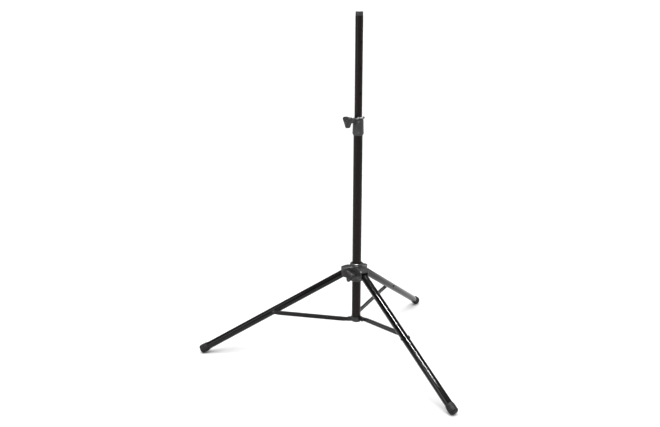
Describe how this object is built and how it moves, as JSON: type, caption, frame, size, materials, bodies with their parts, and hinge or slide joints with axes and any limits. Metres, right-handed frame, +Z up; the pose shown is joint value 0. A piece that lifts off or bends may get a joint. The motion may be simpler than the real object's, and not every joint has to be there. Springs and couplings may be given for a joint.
{
  "type": "loudspeaker stand",
  "caption": "Black folding tripod loudspeaker stand: telescoping 35 mm pole in a mast, sliding hub, three legs with side braces, screw clamps and rubber feet.",
  "frame": {"origin": "on the mast's axis at floor level, with the legs fully spread", "axes": "+Z up along the mast; the front leg points along -Y, the right leg 30 degrees and the left leg 150 degrees from +X"},
  "size_m": [1.3122, 1.1417, 1.601],
  "materials": {
    "mast_paint": "satin black powder coat",
    "leg_paint": "gloss black enamel",
    "brace_paint": "satin black enamel",
    "moulded_plastic": "fine moulded texture",
    "knob_plastic": "satin",
    "cap_plastic": "satin",
    "nylon": "waxy",
    "rubber": "matt",
    "black_steel": "black oxide",
    "bright_steel": "zinc plated",
    "brass": "turned"
  },
  "bodies": {
    "mast_base": {"lower_mast_tube": "mast_paint", "bottom_bracket": "moulded_plastic", "bracket_rivets": "black_steel", "brace_inner_bolts": "black_steel", "brace_inner_nuts": "black_steel", "mast_collar": "moulded_plastic", "collar_badge": "moulded_plastic", "collar_bush": "nylon", "collar_screws": "black_steel", "collar_clamp_insert": "brass"},
    "collar_pad": {"collar_clamp_pad": "nylon"},
    "collar_hand_knob": {"collar_knob": "knob_plastic", "collar_knob_stud": "bright_steel"},
    "pin": {"locking_pin": "bright_steel", "locking_pin_head": "knob_plastic"},
    "guide": {"pole_guide": "nylon"},
    "pole": {"pole_tube": "mast_paint", "pole_cap": "cap_plastic"},
    "hub": {"hub_body": "moulded_plastic", "hub_cover": "moulded_plastic", "hub_ring": "moulded_plastic", "hub_bush": "nylon", "hub_screws": "black_steel", "hub_clamp_insert": "brass", "leg_hinge_bolts": "black_steel", "leg_hinge_nuts": "black_steel"},
    "hub_pad": {"hub_clamp_pad": "nylon"},
    "hub_hand_knob": {"hub_knob": "knob_plastic", "hub_knob_stud": "bright_steel"},
    "front_leg": {"front_leg_tube": "leg_paint", "front_leg_plug": "cap_plastic", "front_foot_cap": "rubber", "front_leg_brace_bolt": "black_steel"},
    "front_brace_link": {"front_brace": "brace_paint", "front_brace_outer_bolt": "black_steel"},
    "right_leg": {"right_leg_tube": "leg_paint", "right_leg_plug": "cap_plastic", "right_foot_cap": "rubber", "right_leg_brace_bolt": "black_steel"},
    "right_brace_link": {"right_brace": "brace_paint", "right_brace_outer_bolt": "black_steel"},
    "left_leg": {"left_leg_tube": "leg_paint", "left_leg_plug": "cap_plastic", "left_foot_cap": "rubber", "left_leg_brace_bolt": "black_steel"},
    "left_brace_link": {"left_brace": "brace_paint", "left_brace_outer_bolt": "black_steel"}
  },
  "joints": [
    {"name": "pole_slide", "type": "slide", "parent": "mast_base", "child": "guide", "axis": [0, 0, 1], "range_m": [-0.42, 0.405]},
    {"name": "pole_swivel", "type": "hinge", "parent": "guide", "child": "pole", "pos_m": [0, 0, 1.1], "axis": [0, 0, 1], "continuous": true},
    {"name": "collar_pad_travel", "type": "slide", "parent": "mast_base", "child": "collar_pad", "axis": [-0.9976, -0.0698, 0], "range_m": [0, 0.0019]},
    {"name": "collar_knob_turn", "type": "hinge", "parent": "collar_pad", "child": "collar_hand_knob", "pos_m": [-0.05786, -0.00405, 1.124], "axis": [-0.9976, -0.0698, 0], "range_deg": [0, 540]},
    {"name": "locking_pin_pull", "type": "slide", "parent": "mast_base", "child": "pin", "axis": [1, 0, 0], "range_m": [0, 0.03]},
    {"name": "hub_slide", "type": "slide", "parent": "mast_base", "child": "hub", "axis": [0, 0, 1], "range_m": [0, 0.5236]},
    {"name": "hub_pad_travel", "type": "slide", "parent": "hub", "child": "hub_pad", "axis": [-0.866, -0.5, 0], "range_m": [0, 0.0019]},
    {"name": "hub_knob_turn", "type": "hinge", "parent": "hub_pad", "child": "hub_hand_knob", "pos_m": [-0.05543, -0.032, 0.405], "axis": [-0.866, -0.5, 0], "range_deg": [0, 540]},
    {"name": "front_leg_hinge", "type": "hinge", "parent": "hub", "child": "front_leg", "pos_m": [0, -0.05, 0.40863], "axis": [1, 0, 0], "range_deg": [0, 58.51]},
    {"name": "front_brace_hinge", "type": "hinge", "parent": "mast_base", "child": "front_brace_link", "pos_m": [0, -0.035, 0.176], "axis": [-1, 0, 0], "range_deg": [0, 79.47]},
    {"name": "right_leg_hinge", "type": "hinge", "parent": "hub", "child": "right_leg", "pos_m": [0.0433, 0.025, 0.40863], "axis": [-0.5, 0.866, 0], "range_deg": [0, 58.51]},
    {"name": "right_brace_hinge", "type": "hinge", "parent": "mast_base", "child": "right_brace_link", "pos_m": [0.03031, 0.0175, 0.176], "axis": [0.5, -0.866, 0], "range_deg": [0, 79.47]},
    {"name": "left_leg_hinge", "type": "hinge", "parent": "hub", "child": "left_leg", "pos_m": [-0.0433, 0.025, 0.40863], "axis": [-0.5, -0.866, 0], "range_deg": [0, 58.51]},
    {"name": "left_brace_hinge", "type": "hinge", "parent": "mast_base", "child": "left_brace_link", "pos_m": [-0.03031, 0.0175, 0.176], "axis": [0.5, 0.866, 0], "range_deg": [0, 79.47]}
  ],
  "couplings": [
    {"joint": "collar_pad_travel", "follows": "collar_knob_turn", "m_per_rad": 0.00019894},
    {"joint": "hub_pad_travel", "follows": "hub_knob_turn", "m_per_rad": 0.00019894},
    {"joint": "front_leg_hinge", "follows": "hub_slide", "rad_per_m": 1.95},
    {"joint": "front_brace_hinge", "follows": "hub_slide", "rad_per_m": 2.6485},
    {"joint": "right_leg_hinge", "follows": "hub_slide", "rad_per_m": 1.95},
    {"joint": "right_brace_hinge", "follows": "hub_slide", "rad_per_m": 2.6485},
    {"joint": "left_leg_hinge", "follows": "hub_slide", "rad_per_m": 1.95},
    {"joint": "left_brace_hinge", "follows": "hub_slide", "rad_per_m": 2.6485}
  ]
}
